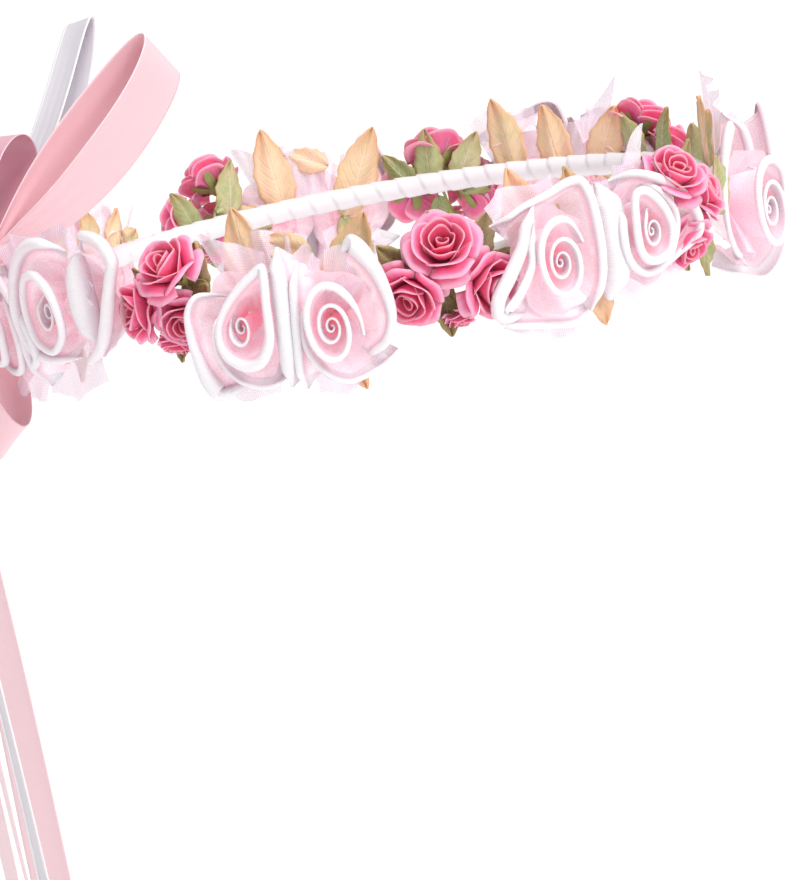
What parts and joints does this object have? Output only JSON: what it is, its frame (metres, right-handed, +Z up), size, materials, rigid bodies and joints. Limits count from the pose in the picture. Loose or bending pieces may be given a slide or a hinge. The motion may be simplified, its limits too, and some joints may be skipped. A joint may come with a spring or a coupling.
{
  "type": "flower crown",
  "caption": "Oval satin-wrapped hair ring with ribbon roses in pairs, organza frills, paper rosebuds and leaves, and a bow at the back with hanging ribbon tails.",
  "frame": {"origin": "centre of the ring, in the plane of its wire", "axes": "+Z up along the ring's axis, away from the wearer's shoulders; -Y towards the forehead; +Y towards the bow at the back; -X towards the wearer's right side"},
  "size_m": [0.205, 0.2723, 0.5018],
  "materials": {
    "wire": "thin bright floral wire",
    "white_satin": "white satin ribbon, wound on the slant",
    "rose_ribbon": "sheer pink ribbon with white satin edges, deeper pink inside the folds",
    "organza": "sheer pale pink organza with a shimmer",
    "paper_leaf": "veined mulberry paper, peach to tan and olive brown",
    "green_leaf": "veined mulberry paper, olive green to brown",
    "paper_rose": "soft mulberry paper, hot pink with paler petal edges",
    "calyx": "green paper over wire",
    "pink_satin": "smooth pink satin ribbon with a soft sheen",
    "white_ribbon": "white sheer ribbon with a stitched edge"
  },
  "bodies": {
    "crown": {"ring_wire": "wire", "ring_wrap": "white_satin", "rose_1a": "rose_ribbon", "rose_1b": "rose_ribbon", "rose_2a": "rose_ribbon", "rose_2b": "rose_ribbon", "rose_3a": "rose_ribbon", "rose_3b": "rose_ribbon", "rose_4a": "rose_ribbon", "rose_4b": "rose_ribbon", "rose_5a": "rose_ribbon", "rose_5b": "rose_ribbon", "rose_6a": "rose_ribbon", "rose_6b": "rose_ribbon", "rose_7a": "rose_ribbon", "rose_7b": "rose_ribbon", "frill_1": "organza", "frill_2": "organza", "frill_3": "organza", "frill_4": "organza", "frill_5": "organza", "frill_6": "organza", "frill_7": "organza", "leaves_1": "paper_leaf", "leaves_2": "paper_leaf", "leaves_3": "paper_leaf", "leaves_4": "paper_leaf", "leaves_5": "paper_leaf", "leaves_6": "paper_leaf", "leaves_7": "paper_leaf", "buds_1": "paper_rose", "buds_2": "paper_rose", "buds_3": "paper_rose", "buds_4": "paper_rose", "buds_5": "paper_rose", "buds_6": "paper_rose", "stems_1": "calyx", "stems_2": "calyx", "stems_3": "calyx", "stems_4": "calyx", "stems_5": "calyx", "stems_6": "calyx", "sprig_1": "green_leaf", "sprig_2": "green_leaf", "sprig_3": "green_leaf", "sprig_4": "green_leaf", "sprig_5": "green_leaf", "sprig_6": "green_leaf", "bow_wire": "wire", "bow_ribbon_1": "pink_satin", "bow_ribbon_2": "white_ribbon", "bow_ribbon_3": "pink_satin", "bow_knot": "pink_satin", "tail_tops": "pink_satin"},
    "tail_1": {"tail_1": "white_ribbon"},
    "tail_2": {"tail_2": "pink_satin"},
    "tail_3": {"tail_3": "pink_satin"},
    "tail_4": {"tail_4": "pink_satin"},
    "tail_5": {"tail_5": "white_ribbon"}
  },
  "joints": [
    {"name": "tail_1_swing", "type": "hinge", "parent": "crown", "child": "tail_1", "pos_m": [0, 0.1355, -0.016], "axis": [1, 0, 0], "range_deg": [-8, 55]},
    {"name": "tail_2_swing", "type": "hinge", "parent": "crown", "child": "tail_2", "pos_m": [0, 0.1353, -0.016], "axis": [1, 0, 0], "range_deg": [-8, 55]},
    {"name": "tail_3_swing", "type": "hinge", "parent": "crown", "child": "tail_3", "pos_m": [0, 0.1435, -0.016], "axis": [1, 0, 0], "range_deg": [-8, 55]},
    {"name": "tail_4_swing", "type": "hinge", "parent": "crown", "child": "tail_4", "pos_m": [0, 0.149, -0.016], "axis": [1, 0, 0], "range_deg": [-8, 55]},
    {"name": "tail_5_swing", "type": "hinge", "parent": "crown", "child": "tail_5", "pos_m": [0, 0.14, -0.016], "axis": [1, 0, 0], "range_deg": [-8, 55]}
  ]
}
